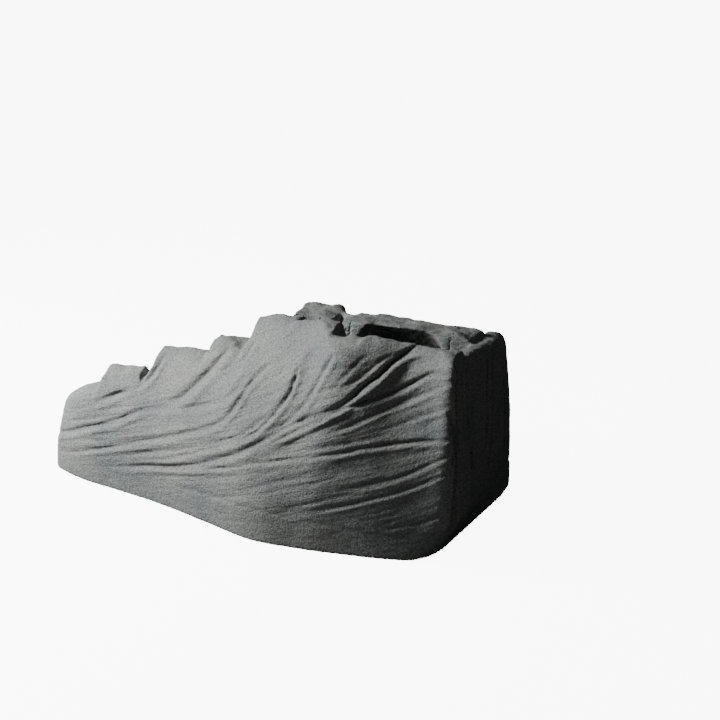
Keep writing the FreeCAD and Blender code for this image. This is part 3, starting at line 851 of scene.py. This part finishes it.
def rock_pieces():
    gz = AXES[2][None, None, :]
    top = top_surface()
    sides = walls(0.0)
    rock = smooth_max(sides, (gz - top[:, :, None]).astype(np.float32), 0.022)
    rock = np.maximum(rock, -niche_field(0.0)).astype(np.float32)
    ceiling = lowest_nearby(top, 3) - WALL
    hollow = smooth_max(walls(WALL), (gz - ceiling[:, :, None]).astype(np.float32), 0.02)
    hollow = np.maximum(hollow, -niche_field(WALL)).astype(np.float32)
    skin = np.maximum(np.maximum(rock, -hollow), -gz).astype(np.float32)
    gx, gy = AXES[0][:, None, None], AXES[1][None, :, None]
    hole = np.hypot(gx - PORT.x, gz - PORT.z) - PORT_HOLE
    hole = np.maximum(hole, np.abs(gy - NICHE_HIGH.y) - PORT_HOLE_REACH).astype(np.float32)
    skin = np.maximum(skin, -hole)
    tray_space = channel_region().astype(np.float32)
    hood_low = HOOD_LOW - Vector((0, HOOD_LIP, 0))
    hood_high = HOOD_HIGH + Vector((0, 0, HOOD_ROOM))
    hood_space = box_field(hood_low, hood_high).astype(np.float32)
    tray_space = np.maximum(tray_space, -hood_space)
    fields = {
        "rock_shell": np.maximum(skin, np.maximum(-tray_space, -hood_space)),
        "stream_tray": np.maximum(skin, tray_space),
        "niche_hood": np.maximum(skin, hood_space),
    }
    material = rock_material()
    for name, field in fields.items():
        points, quads = surface_mesh(field)
        points = sharpened(points, rock, (tray_space, hood_space))
        points, flow, streaked, painted_cavity_shade = worked(points, rock, hollow)
        points[:, 2] = np.where(np.abs(points[:, 2]) < GRID * 0.6, 0, points[:, 2])
        piece = mesh_piece(f"{name}_rock", points, quads)
        add_values(piece.data, "flow", "FLOAT_VECTOR", flow)
        add_values(piece.data, "streaked", "FLOAT", streaked)
        # The painted shade of grooves and chips goes on the mesh as a vertex value.
        add_values(piece.data, "painted_cavity_shade", "FLOAT", painted_cavity_shade)
        settle(piece, "rock_resin", material, *ROCK_NODES[name])
    return hollow


def settle(piece, slot, material, *nodes):
    """Give the piece its material, hang it on the root body and hide the CAD nodes that it stands for."""
    piece.data.materials.append(material)
    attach(piece, "root")
    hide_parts(*nodes)


RIB_WEB = 0.034


def rib_pieces(hollow, material):
    """Webs across the hollow, trimmed to the inside of the shell."""
    for node in ("rib_outlet", "rib_middle", "rib_pool"):
        low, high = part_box(node)
        slab = box_field(low, high)
        arch_low = Vector((low.x - 0.01, low.y + RIB_WEB * 2, low.z - 0.01))
        arch_high = Vector((high.x + 0.01, high.y - RIB_WEB * 2, high.z - RIB_WEB))
        arch = box_field(arch_low, arch_high, 0.02)
        field = np.maximum(np.maximum(slab, hollow + 0.0003), -arch).astype(np.float32)
        points, quads = surface_mesh(field)
        piece = mesh_piece(f"{node}_web", points, quads)
        settle(piece, "laminate", material, node)


# --- The hose connector and its fixings -----------------------------------------------------


def rounded(corners, radius):
    """A closed profile with each corner eased by a short curve."""
    out = []
    count = len(corners)
    for i, corner in enumerate(corners):
        here = np.array(corner, float)
        before = np.array(corners[i - 1], float) - here
        after = np.array(corners[(i + 1) % count], float) - here
        reach_before = min(radius, np.linalg.norm(before) * 0.45)
        reach_after = min(radius, np.linalg.norm(after) * 0.45)
        start = here + before / np.linalg.norm(before) * reach_before
        end = here + after / np.linalg.norm(after) * reach_after
        for t in (0.0, 0.33, 0.67, 1.0):
            out.append((1 - t) ** 2 * start + 2 * t * (1 - t) * here + t * t * end)
    return np.array(out)


def turned(name, corners, radius, sides=0, flats=0.0, segments=96):
    """A closed (radius, y) profile swept round the port's axis; wide parts may follow a polygon."""
    profile = rounded(corners, radius)
    angles = np.arange(segments) * 2 * math.pi / segments
    points = []
    for r, y in profile:
        reach = np.full(segments, r)
        if sides and r > flats * 0.8:
            sector = 2 * math.pi / sides
            reach = r / np.cos((angles + sector / 2) % sector - sector / 2)
            reach = np.minimum(reach, r * 1.10) if sides == 6 else np.minimum(reach, r * 1.36)
        across = PORT.x + reach * np.cos(angles)
        upward = PORT.z + reach * np.sin(angles)
        ring = np.stack([across, np.full(segments, y), upward], axis=1)
        points.append(ring)
    count = len(profile)
    i, j = np.meshgrid(np.arange(count), np.arange(segments), indexing="ij")
    i2, j2 = (i + 1) % count, (j + 1) % segments
    quads = np.stack([i * segments + j, i * segments + j2, i2 * segments + j2, i2 * segments + j], axis=-1)
    piece = mesh_piece(name, np.concatenate(points), quads.reshape(-1, 4))
    return piece


def connector_profile():
    """From the bore's back end out along the tail and shank, round the flange, and in again."""
    low, high = PORT_LOW.y, PORT_HIGH.y
    flange_back = GASKET_LOW.y
    tail = high - 0.024
    shank_end = tail - 0.020
    corners = [(0.0098, high), (0.0122, high), (0.0127, high - 0.002), (0.0127, tail), (0.0150, tail)]
    for barb in range(3):
        start = tail - 0.006 * barb
        corners += [(0.0160, start - 0.006), (0.0150, start - 0.0062)]
    corners += [(0.0150, shank_end), (0.0163, shank_end)]
    pitch = 0.0023
    turns = int((shank_end - GASKET_HIGH.y - 0.004) / pitch)
    for turn in range(turns):
        crest = shank_end - 0.0012 - pitch * turn
        corners += [(0.0165, crest), (0.0165, crest - 0.0006)]
        corners += [(0.0156, crest - 0.0012), (0.0156, crest - 0.0017)]
    corners += [(0.0165, GASKET_HIGH.y + 0.001), (0.0165, flange_back)]
    corners += [(0.0280, flange_back), (0.0280, low + 0.0022), (0.0262, low)]
    corners += [(0.0190, low), (0.0175, low + 0.0012)]
    corners += [(0.0172, low + 0.0034), (0.0142, low + 0.0038)]
    corners += [(0.0138, low + 0.0120), (0.0119, low + 0.0124)]
    corners += [(0.0117, low + 0.0220), (0.0098, low + 0.0225)]
    return corners


def fitting_pieces(laminate):
    plastic, rubber = moulded_material(), rubber_material()
    connector = turned("hose_connector_body", connector_profile(), 0.0006)
    settle(connector, "connector_white", plastic, "hose_connector")
    rings = (
        ("flange_gasket", "gasket_rubber", rubber, 0.0168, 0.0249, 0.0004, 0, 96),
        ("rear_washer", "gasket_rubber", rubber, 0.0171, 0.0229, 0.0004, 0, 96),
        ("lock_nut", "connector_white", plastic, 0.0167, 0.0229, 0.0012, 6, 96),
        ("backing_plate", "laminate", laminate, 0.0171, 0.0419, 0.0012, 4, 128),
    )
    for node, slot, material, inner, outer, ease, sides, segments in rings:
        low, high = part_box(node)
        corners = [(inner, high.y), (outer, high.y), (outer, low.y), (inner, low.y)]
        piece = turned(f"{node}_ring", corners, ease, sides, outer, segments)
        settle(piece, slot, material, node)


# --- Stage ----------------------------------------------------------------------------------

VIEW_AZIMUTH = math.radians(25)
VIEW_ELEVATION = math.radians(25)
VIEW_DISTANCE = 3.0
LENS = 75.0


def view_axes():
    ca, sa = math.cos(VIEW_AZIMUTH), math.sin(VIEW_AZIMUTH)
    ce, se = math.cos(VIEW_ELEVATION), math.sin(VIEW_ELEVATION)
    back = Vector((sa * ce, -ca * ce, se))
    right = Vector((ca, sa, 0))
    return back, right, back.cross(right)


def add_camera():
    back, right, up = view_axes()
    focus = Vector((0.060, 0.023, 0.12))
    eye = focus + back * VIEW_DISTANCE
    aim = focus + right * 0.12 + up * 0.14
    data = bpy.data.cameras.new("camera")
    data.lens = LENS
    camera = bpy.data.objects.new("camera", data)
    camera.location = eye
    camera.rotation_euler = (eye - aim).to_track_quat("Z", "Y").to_euler()
    bpy.context.scene.collection.objects.link(camera)
    bpy.context.scene.camera = camera


def add_light(name, place, aim, width, power):
    data = bpy.data.lights.new(name, "AREA")
    data.shape = "DISK"
    data.size = width
    data.energy = power
    light = bpy.data.objects.new(name, data)
    light.location = place
    light.rotation_euler = (Vector(place) - Vector(aim)).to_track_quat("Z", "Y").to_euler()
    bpy.context.scene.collection.objects.link(light)


def seen_directly(nodes, links, first, second):
    """One shader for everything else and another for what the camera sees directly."""
    mix = nodes.new("ShaderNodeMixShader")
    path = nodes.new("ShaderNodeLightPath")
    links.new(path.outputs["Is Camera Ray"], mix.inputs["Fac"])
    links.new(first, mix.inputs[1])
    links.new(second, mix.inputs[2])
    return mix.outputs["Shader"]


def add_floor():
    mesh = bpy.data.meshes.new("floor")
    reach = 12
    corners = [(-reach, -reach, 0), (reach, -reach, 0), (reach, reach, 0), (-reach, reach, 0)]
    mesh.from_pydata(corners, [], [(0, 1, 2, 3)])
    floor = bpy.data.objects.new("floor", mesh)
    bpy.context.scene.collection.objects.link(floor)
    material, nodes, links, shader = node_material("pale_floor")
    shader.inputs["Base Color"].default_value = (0.15, 0.15, 0.15, 1)
    shader.inputs["Roughness"].default_value = 0.9
    pale = nodes.new("ShaderNodeBsdfPrincipled")
    pale.inputs["Base Color"].default_value = (0.6, 0.6, 0.6, 1)
    pale.inputs["Roughness"].default_value = 0.9
    pale.inputs["Emission Color"].default_value = (1, 1, 1, 1)
    pale.inputs["Emission Strength"].default_value = 9.0
    mixed = seen_directly(nodes, links, shader.outputs["BSDF"], pale.outputs["BSDF"])
    links.new(mixed, nodes["Material Output"].inputs["Surface"])
    mesh.materials.append(material)


def add_world():
    world = bpy.data.worlds.new("studio")
    world.use_nodes = True
    nodes, links = world.node_tree.nodes, world.node_tree.links
    dim = nodes["Background"]
    dim.inputs["Color"].default_value = (1, 1, 1, 1)
    dim.inputs["Strength"].default_value = 0.06
    bright = nodes.new("ShaderNodeBackground")
    bright.inputs["Color"].default_value = (1, 1, 1, 1)
    bright.inputs["Strength"].default_value = 10.0
    mixed = seen_directly(nodes, links, dim.outputs["Background"], bright.outputs["Background"])
    links.new(mixed, nodes["World Output"].inputs["Surface"])
    bpy.context.scene.world = world


laminate = laminate_material()
rib_pieces(rock_pieces(), laminate)
fitting_pieces(laminate)
add_camera()
add_floor()
add_world()
add_light("key", (-1.45, -0.52, 1.15), (0, 0, 0.15), 0.5, 84)
